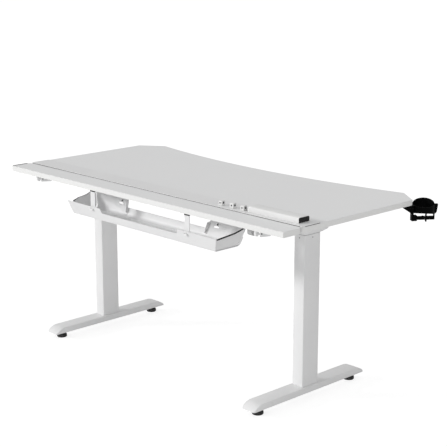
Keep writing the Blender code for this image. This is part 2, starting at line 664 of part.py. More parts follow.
def tray_line(offset, front_length, rear_length):
    """Folded line in (Y, Z) at a distance inside the tray's outer face."""
    front_dir = Vector(FRONT_RUN).normalized()
    rear_dir = Vector(REAR_RUN).normalized()
    front = Vector((TRAY_Y0, TRAY_Z)) + Vector((front_dir.y, -front_dir.x)) * offset
    rear = Vector((TRAY_Y1, TRAY_Z)) + Vector((-rear_dir.y, rear_dir.x)) * offset
    level = TRAY_Z + offset
    front = front + front_dir * ((level - front.y) / front_dir.y)
    rear = rear + rear_dir * ((level - rear.y) / rear_dir.y)
    points = [tuple(front + front_dir * (front_length - offset)), tuple(front),
              tuple(rear), tuple(rear + rear_dir * (rear_length - offset))]
    return rounded(points, [0, BEND_F - offset, BEND_R - offset, 0], 5)


def tray_section(inset, front_length, rear_length, thick):
    """Closed section of a folded sheet: front wall, fold, floor, fold, rear wall."""
    low = tray_line(inset, front_length, rear_length)
    high = tray_line(inset + thick, front_length, rear_length)
    return low + list(reversed(high))


def beyond(x, z, s):
    """Cutter for everything outside the leaning plane through (x, z) on side s."""
    t = math.tan(LEAN)
    outline = [(x - 0.03 * t, z - 0.03), (x + 0.10 * t, z + 0.10), (0.60, z + 0.10),
               (0.60, z - 0.03)]
    return plate("beyond", [mirrored(outline, s)], 0.30, (0, 0.24, 0), XZ)


def cable_tray():
    """One folded sheet with slots in its floor and a rear wall low between tall corners."""
    section = tray_section(0.0, TRAY_LOW, math.hypot(*REAR_RUN), TRAY_T)
    tray = plate("cable_tray", [section], 2 * TRAY_END_X, (0, 0, 0), YZ)
    cuts = [beyond(BOT_X, TRAY_Z, s) for _, s in SIDES]
    dip = rounded([(x, TRAY_Z + h) for x, h in REAR_DIP], [0, 0.014, 0.014, 0], 4)
    cuts.append(plate("dip", [dip], 0.060, (0, 0.3250, 0), XZ))
    cuts += [box("slot", span, FLOOR_SLOT_Y, FLOOR_SLOT_Z) for span in TRAY_SLOTS]
    cuts += [box("rest_slot", around(rest_at(s), 0.0115), (0.300, 0.330), (0.6325, 0.6380))
             for _, s in SIDES]
    finish(cut(tray, *cuts), WHITE_STEEL, lift_frame)


def end_leaf(s):
    """Front and floor leaf inside the tray, its free edge running slantwise across the fold."""
    low, slope = LEAF_START[s]
    leaf = plate("leaf", [tray_section(TRAY_T + GAP, 0.0680, 0.0120, LEAF_T)],
                 TRAY_END_X - LEAF_INNER_X, (s * (TRAY_END_X + LEAF_INNER_X) / 2, 0, 0), YZ)
    floor = [(0.2650, 0.3100), (0.2620, 0.2060), (low + 0.0013, 0.1950), (low + 0.0013, 0.15),
             (0.20, 0.15), (0.20, 0.3100)]
    trim_floor = plate("trim_floor", [mirrored(floor, s)], 0.0160, (0, 0, TRAY_Z + 0.002))
    high = low + slope * 0.0610
    wall = [(low, 0.0), (high, 0.0610), (high + 0.0080, 0.0700), (0.20, 0.0700), (0.20, 0.0)]
    wall = [(x, TRAY_Z + h) for x, h in wall]
    trim_wall = plate("trim_wall", [mirrored(wall, s)], 0.0900, (0, 0.1700, 0), XZ)
    trim_rear = box("trim_rear", sorted((s * 0.19, s * 0.45)), (0.2990, 0.33), (0.58, 0.70))
    return cut(leaf, trim_floor, trim_wall, trim_rear, beyond(END_X + 0.0002, END_Z, s))


def tray_end(side, s):
    """Leaning end plate with a leaf along the tray and a return flange on the leaf's edge."""
    rearwards = Vector((0, 1, 0))
    outline = list(END_OUTLINE)
    if s > 0:
        outline[3] = RIGHT_REAR_CORNER
    up = Vector((s * math.sin(LEAN), 0, math.cos(LEAN)))
    end = plate(f"tray_end_{side}", [rounded(outline, END_RADII, 3)], TRAY_T,
                matrix=plane_matrix(rearwards, up, (s * END_X, 0, END_Z)))
    leaf = end_leaf(s)
    # the return flange gets wider towards the top
    low, slope = LEAF_START[s]
    edge_dir = Vector((s * slope, 0, 1)).normalized()
    edge_foot = (s * (low + slope * 0.008 + 0.0008), 0, TRAY_Z + 0.008)
    flange = plate("return_flange", [rounded(RETURN_OUTLINE, [0, 0, 0.003, 0.003], 3)], 0.0012,
                   matrix=plane_matrix(rearwards, edge_dir, edge_foot))
    # long slot through the front leaf, above it the hook's hole, and a slot in the floor
    long_x = s * 0.2835
    slots = [box("long_slot", (long_x - 0.0210, long_x + 0.0050), (0.1500, 0.1800),
                 (0.6352, 0.6414)),
             box("hook_hole", around(hook_at(s), 0.0042), (0.1500, 0.1800), (0.6472, 0.6515)),
             box("floor_slot", sorted((s * 0.310, s * 0.405)), FLOOR_SLOT_Y, FLOOR_SLOT_Z)]
    finish(cut(fuse(end, leaf, flange), *slots), WHITE_STEEL, lift_frame)


def tray_edge_trim(side, s):
    rise, outwards = 0.0020, 0.0043   # of the trim's centre line from the measured edge
    path = [(s * (END_X + math.tan(LEAN) * (h + rise) + outwards), y, END_Z + h + rise)
            for y, h in (TRIM_RIGHT if s > 0 else TRIM_LEFT)]
    finish(wire(f"tray_edge_trim_{side}", path, 0.0026), BLACK_RUBBER, lift_frame)


def tray_hanger(side, s):
    """Strap in front of the tray's front wall, its hook turned back into the end piece's hole."""
    x, hook_x = s * HOOK_X, hook_at(s)
    strap = box(f"tray_hanger_{side}", around(x, 0.009), (0.1580, 0.1600), (0.6500, MOUNT_Z))
    toe = box("toe", (hook_x - 0.0045, x + 0.0085), (0.1581, 0.1601), (0.6470, 0.6560))
    top_leaf = box("top_leaf", around(x, 0.009), (0.1345, 0.1595), (UNDER - 0.0023, MOUNT_Z))
    hook = box("hook", around(hook_x, 0.0034), (0.1590, 0.1735), (0.6480, 0.6505))
    tab = box("tab", around(hook_x, 0.0036), (0.1725, 0.1745), (0.6478, 0.6530))
    finish(fuse(strap, toe, top_leaf, hook, tab), WHITE_STEEL, lift_frame)


def flap_rest(side, s):
    """Upright strap hooked through the tray's rear wall, with a rubber pad under the flap."""
    x = rest_at(s)
    strap = box(f"flap_rest_{side}", around(x, 0.0140), (0.3085, 0.3110), (0.6320, 0.7050))
    arm = box("arm", around(x, 0.0100), (0.3095, 0.3225), (0.6338, 0.6362))
    tab = box("tab", around(x, 0.0100), (0.3205, 0.3225), (0.6290, 0.6362))
    finish(fuse(strap, arm, tab), WHITE_STEEL, lift_frame)
    pad = box(f"flap_rest_pad_{side}", around(x, 0.0135), (0.3055, 0.3140),
              (0.7053, UNDER - 0.0010), bevel=0.0012)
    finish(pad, BLACK_RUBBER, lift_frame)


# ================================================================ flap, hinges and catch
FLAP_FRONT_Y, FLAP_REAR_Y = 0.2485, 0.344
FLAP_SEAM_R, FLAP_REAR_R = 0.016, 0.002    # corners beside the seam and at the rear
HINGE_X, HINGE_BODY_X = 0.6475, 0.6540
CHEEK_DX = 0.0098                          # thin cheek, to the left of the arm's middle
CATCH_X = -0.6165


def rear_flap():
    outline = rounded([(-HALF_LENGTH, FLAP_FRONT_Y), (HALF_LENGTH, FLAP_FRONT_Y),
                       (HALF_LENGTH, FLAP_REAR_Y), (-HALF_LENGTH, FLAP_REAR_Y)],
                      [FLAP_SEAM_R, FLAP_SEAM_R, FLAP_REAR_R, FLAP_REAR_R], 4)
    flap = plate("rear_flap", [outline], TOP_THICK, (0, 0, TOP_HEIGHT - TOP_THICK / 2))
    finish(bevelled(flap, 0.0008, 1, 60), WHITE_BOARD, flap_axis)


def hinge_arm(side, s):
    """Base plate under the flap, deep round-nosed block, and a thin cheek running forwards."""
    x = s * HINGE_X
    base = box(f"flap_hinge_arm_{side}", around(x, 0.0180), (0.2560, 0.3230),
               (UNDER - 0.0028, MOUNT_Z))
    nose = rounded([(0.3224, UNDER - 0.0010), (0.3210, 0.6965), (0.3130, 0.6925),
                    (0.3060, 0.6970), (0.3040, UNDER - 0.0010)], [0, 0.005, 0.005, 0.004, 0], 3)
    block = plate("block", [nose], 0.0090, (x + 0.0050, 0, 0), YZ)
    side_view = rounded([(0.3100, UNDER - 0.0014), (0.3100, 0.6925), (0.2580, 0.6870),
                         (0.2580, 0.7060), (0.2700, UNDER - 0.0014)],
                        [0, 0.003, 0.002, 0.002, 0], 3)
    cheek = plate("cheek", [side_view], 0.0024, (x - CHEEK_DX, 0, 0), YZ)
    spacer = rod(0.0027, "x", (0.3072, 0.7020), (x - 0.0095, x + 0.0020), 14)
    finish(fuse(base, block, cheek, spacer), WHITE_STEEL, flap_axis)


def hinge_body(side, s):
    """Fixed block under the board beside the seam, with an ear below it."""
    x = s * HINGE_BODY_X
    body = box(f"flap_hinge_body_{side}", around(x, 0.0185), (0.2050, 0.2420),
               (UNDER - 0.0120, MOUNT_Z), bevel=0.002)
    # the ear lines up with the arm's cheek as far as the body reaches
    ear_x = max(s * HINGE_X - CHEEK_DX, x - 0.0160)
    side_view = rounded([(0.2065, UNDER - 0.0100), (0.2065, 0.7050), (0.2445, 0.6975),
                         (0.2445, UNDER - 0.0100)], [0, 0.003, 0.003, 0], 3)
    ear = plate("ear", [side_view], 0.0024, (ear_x, 0, 0), YZ)
    finish(fuse(body, ear), WHITE_STEEL, lift_frame)


def flap_catch():
    """Plastic block with a rounded nose under the flap's left end."""
    nose = rounded([(0.3230, MOUNT_Z), (0.3210, 0.6965), (0.3080, 0.6900), (0.2900, 0.6960),
                    (0.2820, MOUNT_Z)], [0, 0.005, 0.009, 0.008, 0], 4)
    finish(plate("flap_catch", [nose], 0.0220, (CATCH_X, 0, 0), YZ), GREY_PLASTIC, flap_axis)


# ================================================================ cup holder, left front corner
CUP = Vector((-0.8142, -0.4156))
OUT_DIR = Vector((-0.615, -0.788)).normalized()   # square to the chamfer, away from the desk
TAN_DIR = Vector((-0.788, 0.615)).normalized()    # along the chamfer, to the desk's short end
R_CUP, WALL_CUP = 0.0423, 0.0030
BAND_LOW, BAR_LOW, BAR_HIGH, CUP_LOW = 0.6835, 0.6600, 0.6740, 0.6570
SLANT_DIR = Vector((-0.596, 0.803))               # the rim falls and the lower edge rises this way
RIM_Z = 0.7217                                    # rim height on the cup's axis
RIM_FALL_AHEAD, RIM_FALL_BEHIND, LOW_RISE = 0.1235, 0.3620, 0.2346
# side views as (outwards, Z)
LIP_OUTLINE = [(0.0400, 0.6843), (0.0455, 0.6843), (0.0510, 0.6905), (0.0555, 0.7210),
               (0.0400, 0.7210)]
GUSSET_OUTLINE = [(-0.0930, 0.7170), (-0.0425, 0.6830), (-0.0425, 0.7170)]
CUP_SCREWS = [(-0.0175, -0.0900), (0.0175, -0.0900)]   # (along the chamfer, outwards)


def cup_point(along, out):
    return (CUP.x + TAN_DIR.x * along + OUT_DIR.x * out,
            CUP.y + TAN_DIR.y * along + OUT_DIR.y * out)


def cup_band():
    """Upright ring with slanted upper and lower edges."""
    # heights 1 and 0 only mark the upper and lower vertices until they are moved below
    inner = R_CUP - WALL_CUP
    ring = to_mesh(turned("cup_holder", [(inner, 1.0), (R_CUP, 1.0), (R_CUP, 0.0), (inner, 0.0)],
                          (CUP.x, CUP.y, 0), steps=36, closed=True))
    for v in ring.data.vertices:
        d = v.co.x * SLANT_DIR.x + v.co.y * SLANT_DIR.y
        if v.co.z > 0.5:
            v.co.z = RIM_Z - (RIM_FALL_AHEAD if d > 0 else RIM_FALL_BEHIND) * d
        else:
            v.co.z = BAND_LOW + max(0.0, LOW_RISE * d)
    return ring


def cup_box(name, along_span, out_span, z_span):
    """Box in the cup holder's own directions: along the chamfer, outwards, up."""
    ob = box(name, along_span, out_span, z_span)
    along, out, z = ob.location
    ob.rotation_euler = (0, 0, math.atan2(TAN_DIR.y, TAN_DIR.x))
    ob.location = (*cup_point(along, out), z)
    return ob


def cup_side(name, outline, thick):
    """Outline drawn as (outwards, Z), thick along the chamfer."""
    outwards, up = Vector((OUT_DIR.x, OUT_DIR.y, 0)), Vector((0, 0, 1))
    return plate(name, [outline], thick, matrix=plane_matrix(outwards, up, (CUP.x, CUP.y, 0)))


def cup_holder():
    """Band with two low bars for the cup to stand on, on a shelf fixed under the board."""
    pieces = [
        cup_box("bar_out", (-0.0030, 0.0030), (-0.0400, 0.0435), (BAR_LOW, BAR_HIGH)),
        cup_box("bar_along", (-0.0100, 0.0425), (-0.0028, 0.0028), (0.6695, BAR_HIGH - 0.0004)),
        cup_box("rib", (0.0365, 0.0427), (-0.0024, 0.0024), (0.6624, 0.6965)),
        cup_box("strut", (-0.0034, 0.0034), (0.0395, 0.0440), (BAR_LOW + 0.0003, 0.6900)),
        cup_box("back", (-0.0130, 0.0130), (-0.0470, -0.0402), (CUP_LOW + 0.0005, 0.7160)),
        cup_box("leg", (-0.0095, 0.0095), (-0.0464, -0.0260), (CUP_LOW, BAR_HIGH + 0.0040)),
        cup_side("lip", LIP_OUTLINE, 0.0130),
        cup_box("shelf", (-0.0230, 0.0230), (-0.0980, -0.0420), (0.7165, MOUNT_Z)),
        cup_side("gusset", GUSSET_OUTLINE, 0.0320)]
    holder = fuse(cup_band(), *pieces)
    # upright slit through the band and the lip on the outer side
    slit = cup_box("slit", (-0.0030, 0.0030), (0.0320, 0.0600), (0.6915, 0.7400))
    holes = [rod(0.0024, "z", cup_point(*at), (0.7100, 0.7300), 10) for at in CUP_SCREWS]
    finish(cut(holder, slit, *holes), BLACK_PLASTIC, lift_frame)


# ================================================================ handset and cables
HANDSET_X, HANDSET_W = 0.500, 0.124
HANDSET_PROFILE = [      # (Y, Z)
    (-0.3450, MOUNT_Z), (-0.3450, UNDER - 0.0160), (-0.4080, UNDER - 0.0210),
    (-0.4140, UNDER - 0.0170), (-0.4140, MOUNT_Z)]
BUTTONS = (("up", HANDSET_X - 0.016), ("down", HANDSET_X + 0.016))   # name, X
BUTTON_Z = UNDER - 0.0090

HANDSET_CABLE = [
    (0.1206, -0.170, UNDER - 0.0080), (0.150, -0.171, UNDER - 0.0050),
    (0.300, -0.230, UNDER - 0.0035), (0.430, -0.315, UNDER - 0.0035),
    (0.476, -0.328, UNDER - 0.0080), (0.484, -0.3370, UNDER - 0.0090),
    (0.484, -0.3443, UNDER - 0.0090)]


def handset():
    """Block under the user's edge, with two buttons in pockets in its front face."""
    profile = rounded(HANDSET_PROFILE, [0, 0.003, 0.002, 0.002, 0], 2)
    body = plate("handset", [profile], HANDSET_W, (HANDSET_X, 0, 0), YZ)
    pockets = [box("pocket", around(x, 0.0070), (-0.4200, -0.4104), around(BUTTON_Z, 0.0045))
               for _, x in BUTTONS]
    finish(cut(body, *pockets), BLACK_PLASTIC, lift_frame)
    for name, x in BUTTONS:
        axis = empty(f"button_axis_{name}", (x, -0.4150, BUTTON_Z))
        button = box(f"button_{name}", around(x, 0.0065), (-0.4152, -0.4121),
                     around(BUTTON_Z, 0.0040), bevel=0.0006)
        finish(button, WHITE_PLASTIC, axis)


def motor_cable(side, s):
    """Cable from the control box's end to the gear housing."""
    start_x = 0.1206 if s > 0 else -0.1506
    plan = [(start_x, -0.120), (start_x + s * 0.030, -0.118), (s * 0.300, -0.092),
            (s * 0.500, -0.072), (s * 0.540, CABLE_Y), (s * 0.5735, CABLE_Y)]
    path = smooth_path([(x, y, CABLE_Z) for x, y in plan], 3)
    finish(wire(f"motor_cable_{side}", path, 0.0022), BLACK_RUBBER, lift_frame)


def handset_cable():
    path = smooth_path(HANDSET_CABLE, 4)
    finish(wire("handset_cable", path, 0.0020), BLACK_RUBBER, lift_frame)


# ================================================================ build
for side, s in SIDES:
    x = s * COLUMN_X
    foot(side, x)
    foot_plate(side, x)
    outer_column(side, x)
    nut_tube(side, x)
    glide_collar(side, x)
    levelling_feet(side, x)
    inner_column(side, x)
    gear_housing(side, s, x)
    motor(side, x)
    side_bracket(side, s, x)
    spindle(side, x)
    motor_shaft(side, x)
    tray_end(side, s)
    tray_edge_trim(side, s)
    tray_hanger(side, s)
    flap_rest(side, s)
    hinge_arm(side, s)
    hinge_body(side, s)
    motor_cable(side, s)

crossbars()
control_box()
desk_top()
magnetic_strip()
cable_clips()
cable_cover()
cable_tray()
rear_flap()
flap_catch()
cup_holder()
handset()
handset_cable()

for ob in parts.objects:
    if ob.parent is None:
        ob.location = ob.location + Vector(CENTRE_SHIFT)
bpy.context.view_layer.update()
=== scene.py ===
"""Looks for an electric height-adjustable desk, in metres.

The desk stands on z = 0 with its width along X (left is -X) and its depth along Y (the front is -Y,
the flap is at the rear). The CAD frame gets procedural materials and small detail pieces such as
screws, nuts and plugs, plus black pieces that paint shade in seams, holes and openings; a floor,
lights and a camera complete the scene.
"""
import math

import bmesh
import bpy
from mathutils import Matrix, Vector


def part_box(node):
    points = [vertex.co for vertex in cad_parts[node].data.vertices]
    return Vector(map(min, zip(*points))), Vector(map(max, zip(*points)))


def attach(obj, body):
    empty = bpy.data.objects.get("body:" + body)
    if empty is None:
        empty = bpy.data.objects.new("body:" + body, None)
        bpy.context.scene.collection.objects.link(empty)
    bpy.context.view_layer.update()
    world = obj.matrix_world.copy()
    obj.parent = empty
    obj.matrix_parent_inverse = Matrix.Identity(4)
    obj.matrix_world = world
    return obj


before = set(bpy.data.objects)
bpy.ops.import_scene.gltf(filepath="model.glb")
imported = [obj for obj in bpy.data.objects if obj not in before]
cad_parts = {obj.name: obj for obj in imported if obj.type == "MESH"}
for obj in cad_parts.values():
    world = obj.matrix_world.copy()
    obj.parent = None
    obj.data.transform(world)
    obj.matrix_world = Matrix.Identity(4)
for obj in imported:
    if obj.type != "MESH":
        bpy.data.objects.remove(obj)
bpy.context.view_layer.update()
SCENE = bpy.context.scene
# Places are measured from midway between the columns; this is that point in the CAD frame.
SHIFT = Vector((0.02825, 0.05968, 0.0))
SIDES = (("left", -1.0), ("right", 1.0))


def node_box(node):
    """Low and high corners of a CAD node, measured from midway between the columns."""
    low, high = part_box(node)
    return Vector(low) - SHIFT, Vector(high) - SHIFT


# ------------------------------------------------------------------ node graphs
def feed(tree, socket, value):
    """Links value to socket if it is a socket, else sets it; colours are given as RGB."""
    if isinstance(value, bpy.types.NodeSocket):
        tree.links.new(value, socket)
    elif socket.type == "RGBA":
        socket.default_value = (*value, 1.0)
    else:
        socket.default_value = value


def add_node(tree, kind, output, inputs=None, **settings):
    """Adds a node, feeds its inputs and returns the named or numbered output."""
    node = tree.nodes.new(kind)
    for key, value in settings.items():
        setattr(node, key, value)
    for key, value in (inputs or {}).items():
        feed(tree, node.inputs[key], value)
    return node.outputs[output]


def camera_switch(tree, lighting, seen, target):
    """Shows one shader to the camera and gives the other to all remaining rays."""
    camera_ray = add_node(tree, "ShaderNodeLightPath", "Is Camera Ray")
    switch = add_node(tree, "ShaderNodeMixShader", 0, {0: camera_ray, 1: lighting, 2: seen})
    tree.links.new(switch, target)


class Surface:
    """A material built in object coordinates around its Principled shader."""

    def __init__(self, name):
        self.material = bpy.data.materials.new(name)
        self.material.use_nodes = True
        self.tree = self.material.node_tree
        self.shader = self.tree.nodes.get("Principled BSDF")
        self.coord = self.add("ShaderNodeTexCoord", "Object")

    def add(self, kind, output, inputs=None, **settings):
        return add_node(self.tree, kind, output, inputs, **settings)

    def set(self, name, value):
        feed(self.tree, self.shader.inputs[name], value)

    def stretch(self, scale):
        return self.add("ShaderNodeMapping", "Vector", {"Scale": scale, "Vector": self.coord})

    def noise(self, scale, detail=2.0, rough=0.5, vector=None):
        return self.add("ShaderNodeTexNoise", "Fac", {
            "Scale": scale, "Detail": detail, "Roughness": rough, "Vector": vector or self.coord})

    def cells(self, scale):
        return self.add("ShaderNodeTexVoronoi", "Distance",
                        {"Scale": scale, "Vector": self.coord}, feature="F1")

    def ramp(self, value, span, to=(0.0, 1.0)):
        """Maps value from the range span to the range to."""
        return self.add("ShaderNodeMapRange", "Result", {
            "From Min": span[0], "From Max": span[1],
            "To Min": to[0], "To Max": to[1], "Value": value})

    def math(self, operation, a, b):
        return self.add("ShaderNodeMath", "Value", {0: a, 1: b}, operation=operation)

    def plus(self, a, b):
        return self.math("ADD", a, b)

    def times(self, a, b):
        return self.math("MULTIPLY", a, b)

    def mix(self, factor, a, b):
        # 6, 7 and output 2 are the Mix node's colour sockets
        return self.add("ShaderNodeMix", 2, {"Factor": factor, 6: a, 7: b}, data_type="RGBA")

    def bump(self, height, strength, distance, edge_radius=None):
        """Bump relief; edge_radius rounds the normals at edges so that they catch the light."""
        inputs = {"Strength": strength, "Distance": distance, "Height": height}
        if edge_radius:
            inputs["Normal"] = self.add("ShaderNodeBevel", "Normal", {"Radius": edge_radius},
                                        samples=4)
        self.set("Normal", self.add("ShaderNodeBump", "Normal", inputs))

    def facing_z(self):
        """1 on faces square to Z, 0 on upright ones."""
        normal = self.add("ShaderNodeNewGeometry", "True Normal")
        z = self.add("ShaderNodeSeparateXYZ", "Z", {"Vector": normal})
        return self.math("ABSOLUTE", z, 0.0)


def grey(value):
    return (value, value, value)


def scaled(colour, factor):
    return tuple(channel * factor for channel in colour)


# ------------------------------------------------------------------ materials
def powder_coat(name, base, rough):
    """Fine-textured powder coat on steel: orange-peel bump and faint tone drift."""
    s = Surface(name)
    drift = s.ramp(s.noise(scale=7.0, detail=3.0), span=(0.35, 0.65))
    speck = s.ramp(s.noise(scale=900.0), span=(0.35, 0.65))
    tone = s.plus(s.times(drift, 0.7), s.times(speck, 0.3))
    dark = scaled((0.975, 0.975, 0.98), base)
    s.set("Base Color", s.mix(tone, dark, scaled(grey(1.01), base)))
    s.set("Roughness", s.ramp(s.noise(scale=420.0, detail=3.0), span=(0.3, 0.7),
                              to=(rough - 0.04, rough + 0.06)))
    coarse = s.times(s.noise(scale=650.0), 0.7)
    fine = s.times(s.noise(scale=2200.0, detail=1.0), 0.3)
    s.bump(s.plus(coarse, fine), strength=0.35, distance=0.00012, edge_radius=0.0008)
    return s.material


def melamine(name, base):
    """Melamine-faced board: fine grain on its faces, smoother edge band round its sides."""
    s = Surface(name)
    side = s.ramp(s.facing_z(), span=(0.45, 0.55), to=(1.0, 0.0))
    grain = s.noise(scale=1500.0, vector=s.stretch((0.35, 1.0, 1.0)))
    cloud = s.ramp(s.noise(scale=3.0, detail=4.0, rough=0.6), span=(0.3, 0.7))
    face = s.mix(cloud, scaled((0.985, 0.988, 0.992), base), grey(base))
    face = s.mix(s.times(s.ramp(grain, span=(0.4, 0.6)), 0.35),
                 face, scaled((0.965, 0.967, 0.97), base))
    s.set("Base Color", s.mix(side, face, scaled((1.01, 1.01, 1.0), base)))
    face_rough = s.ramp(grain, span=(0.3, 0.7), to=(0.44, 0.54))
    s.set("Roughness", s.plus(face_rough, s.times(side, -0.07)))
    s.bump(grain, strength=0.25, distance=0.00006, edge_radius=0.0009)
    return s.material


def moulded(name, colour, rough, bump, scale=1300.0, specular=0.5):
    """Moulded plastic with a spark-eroded texture."""
    s = Surface(name)
    pits = s.cells(scale)
    tone = s.ramp(s.noise(scale=9.0, detail=3.0), span=(0.3, 0.7))
    s.set("Base Color", s.mix(tone, scaled(colour, 0.93), colour))
    s.set("Roughness", s.ramp(s.noise(scale=60.0, detail=3.0), span=(0.3, 0.7),
                              to=(rough - 0.05, rough + 0.07)))
    relief = s.plus(pits, s.times(s.noise(scale=scale * 0.6), 0.5))
    s.bump(relief, strength=bump, distance=0.00008)
    s.set("Specular IOR Level", specular)
    return s.material


def rubber(name, colour):
    """Matt rubber with a little dust."""
    s = Surface(name)
    dust = s.ramp(s.noise(scale=30.0, detail=5.0, rough=0.65), span=(0.52, 0.75))
    s.set("Base Color", s.mix(s.times(dust, 0.35), colour, grey(0.045)))
    s.set("Roughness", s.ramp(s.noise(scale=200.0, detail=3.0), span=(0.3, 0.7), to=(0.7, 0.88)))
    s.bump(s.noise(scale=1800.0), strength=0.4, distance=0.00008)
    return s.material


def zinc(name, colour):
    """Zinc-plated steel: faint spangle and passivation tint."""
    s = Surface(name)
    spangle = s.ramp(s.cells(300.0), span=(0.1, 0.6))
    tint = s.ramp(s.noise(scale=40.0, detail=3.0), span=(0.35, 0.7))
    plating = s.mix(spangle, colour, scaled(colour, 0.9))
    s.set("Base Color", s.mix(s.times(tint, 0.35), plating, (0.62, 0.60, 0.52)))
    s.set("Metallic", 1.0)
    s.set("Roughness", s.ramp(spangle, span=(0.0, 1.0), to=(0.28, 0.42)))
    s.bump(s.noise(scale=1200.0), strength=0.15, distance=0.00005)
    return s.material


def machined(name, scale, stretch, contrast, dark, light, metallic, rough, bump, distance):
    """Metal with fine tool marks across the axis that stretch enlarges."""
    s = Surface(name)
    marks = s.noise(scale=scale, detail=3.0, rough=0.6, vector=s.stretch(stretch))
    s.set("Base Color", s.mix(s.ramp(marks, span=contrast), dark, light))
    s.set("Metallic", metallic)
    s.set("Roughness", s.ramp(marks, span=(0.3, 0.7), to=rough))
    s.bump(marks, strength=bump, distance=distance)
    return s.material


SPINDLE_GREY = (0.50, 0.51, 0.53)

WHITE_STEEL = powder_coat("powder_coat_white", base=0.80, rough=0.46)
STRIP_COAT = powder_coat("strip_powder_coat", base=0.77, rough=0.42)
TRAY_COAT = powder_coat("tray_powder_coat", base=0.80, rough=0.44)
BOARD = melamine("melamine_white", base=0.80)
WHITE_PLASTIC = moulded("plastic_white", (0.78, 0.78, 0.775), rough=0.58, bump=0.15)
BLACK_PLASTIC = moulded("plastic_black", (0.014, 0.014, 0.015), rough=0.42, bump=0.35)
CUP_BLACK = moulded("cup_holder_black", (0.0006, 0.0006, 0.0007), rough=0.60, bump=0.15,
                    specular=0.06)
COLLAR_GREY = moulded("glide_collar_grey", grey(0.42), rough=0.50, bump=0.2)
# black for pieces that paint shade: the seam's dark line, the end lines, the clip holes and the
# cover's open ends
SHADE_BLACK = rubber("painted_shade_black", (0.008, 0.008, 0.008))
PRINT = moulded("button_print_grey", (0.18, 0.18, 0.19), rough=0.5, bump=0.1)
RUBBER = rubber("rubber_black", (0.012, 0.012, 0.013))
ZINC = zinc("zinc_plate", (0.60, 0.61, 0.64))
SPINDLE = machined("turned_steel", scale=160.0, stretch=(1.0, 1.0, 30.0), contrast=(0.35, 0.65),
                   dark=scaled(SPINDLE_GREY, 0.85), light=SPINDLE_GREY, metallic=1.0,
                   rough=(0.2, 0.36), bump=0.2, distance=0.00006)
MOTOR = machined("motor_can", scale=120.0, stretch=(1.0, 14.0, 1.0), contrast=(0.3, 0.7),
                 dark=(0.30, 0.31, 0.32), light=(0.42, 0.43, 0.45), metallic=0.9,
                 rough=(0.3, 0.45), bump=0.15, distance=0.00005)
CABLE = moulded("cable_sheath", (0.016, 0.016, 0.017), rough=0.5, bump=0.15, scale=900.0)
BLACK_STEEL = moulded("black_oxide", (0.02, 0.02, 0.021), rough=0.35, bump=0.2, scale=1500.0)


# ------------------------------------------------------------------ dressing the CAD nodes
BY_NAME = {
    "desk_top": BOARD, "rear_flap": BOARD, "magnetic_strip": STRIP_COAT,
    # the flap catch takes the glide collars' mid grey; part of that darkness is painted shade from
    # the flap above it
    "cup_holder": CUP_BLACK, "flap_catch": COLLAR_GREY, "handset_cable": CABLE,
}
# (name prefixes, material); the first match counts
BY_PREFIX = (
    (("cable_clip", "cable_cover", "button"), WHITE_PLASTIC),
    (("glide_collar",), COLLAR_GREY),
    (("levelling", "control_box", "handset"), BLACK_PLASTIC),
    (("tray_edge_trim", "flap_rest_pad"), RUBBER),
    (("motor_cable",), CABLE),
    (("spindle", "motor_shaft"), SPINDLE),
    (("motor_",), MOTOR),
    (("foot_plate", "nut_tube"), ZINC),
    (("cable_tray", "tray_"), TRAY_COAT),
)


def material_for(node):
    if node in BY_NAME:
        return BY_NAME[node]
    for prefixes, material in BY_PREFIX:
        if node.startswith(prefixes):
            return material
    return WHITE_STEEL


def weld_and_smooth():
    """Welds coincident points, shades smooth and keeps edges over 32 degrees sharp."""
    group = bpy.data.node_groups.new("weld_and_smooth", "GeometryNodeTree")
    for direction in ("INPUT", "OUTPUT"):
        group.interface.new_socket("Geometry", in_out=direction,
                                   socket_type="NodeSocketGeometry")
    source = add_node(group, "NodeGroupInput", 0)
    welded = add_node(group, "GeometryNodeMergeByDistance", "Geometry",
                      {"Geometry": source, "Distance": 0.000005})
    smooth = add_node(group, "GeometryNodeSetShadeSmooth", "Geometry", {"Geometry": welded})
    angle = add_node(group, "GeometryNodeInputMeshEdgeAngle", "Unsigned Angle")
    sharp = add_node(group, "FunctionNodeCompare", "Result", {0: angle, 1: math.radians(32)},
                     operation="GREATER_THAN")
    edged = add_node(group, "GeometryNodeSetShadeSmooth", "Geometry",
                     {"Geometry": smooth, "Selection": sharp, "Shade Smooth": False},
                     domain="EDGE")
    sink = group.nodes.new("NodeGroupOutput")
    group.links.new(edged, sink.inputs[0])
    return group


SMOOTH = weld_and_smooth()
for node_name, node_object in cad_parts.items():
    node_object.data.materials.clear()
    node_object.data.materials.append(material_for(node_name))
    node_object.modifiers.new("smooth", "NODES").node_group = SMOOTH


# ------------------------------------------------------------------ mesh helpers
def link_mesh(name, bm):
    """Turns bm into a mesh object in the scene."""
    mesh = bpy.data.meshes.new(name)
    bm.to_mesh(mesh)
    bm.free()
    ob = bpy.data.objects.new(name, mesh)
    SCENE.collection.objects.link(ob)
    return ob


def add_piece(name, bm, material, body, sharp=35):
    """Makes a detail piece that rides on body."""
    bmesh.ops.recalc_face_normals(bm, faces=bm.faces)
    bmesh.ops.translate(bm, vec=SHIFT, verts=bm.verts)
    ob = link_mesh(name, bm)
    ob.data.materials.append(material)
    ob.data.shade_smooth()
    ob.data.set_sharp_from_angle(angle=math.radians(sharp))
    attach(ob, body)


def bridge(bm, a, b, along_first=True):
    """Quads between two equal rings; along_first says which way each quad is wound."""
    for k in range(len(a)):
        j = (k + 1) % len(a)
        bm.faces.new((a[k], b[k], b[j], a[j]) if along_first else (a[k], a[j], b[j], b[k]))


def hexagon_reach(half_flat, angle):
    """Distance from a hexagon's centre to its outline."""
    return half_flat / math.cos((angle + math.pi / 6) % (math.pi / 3) - math.pi / 6)


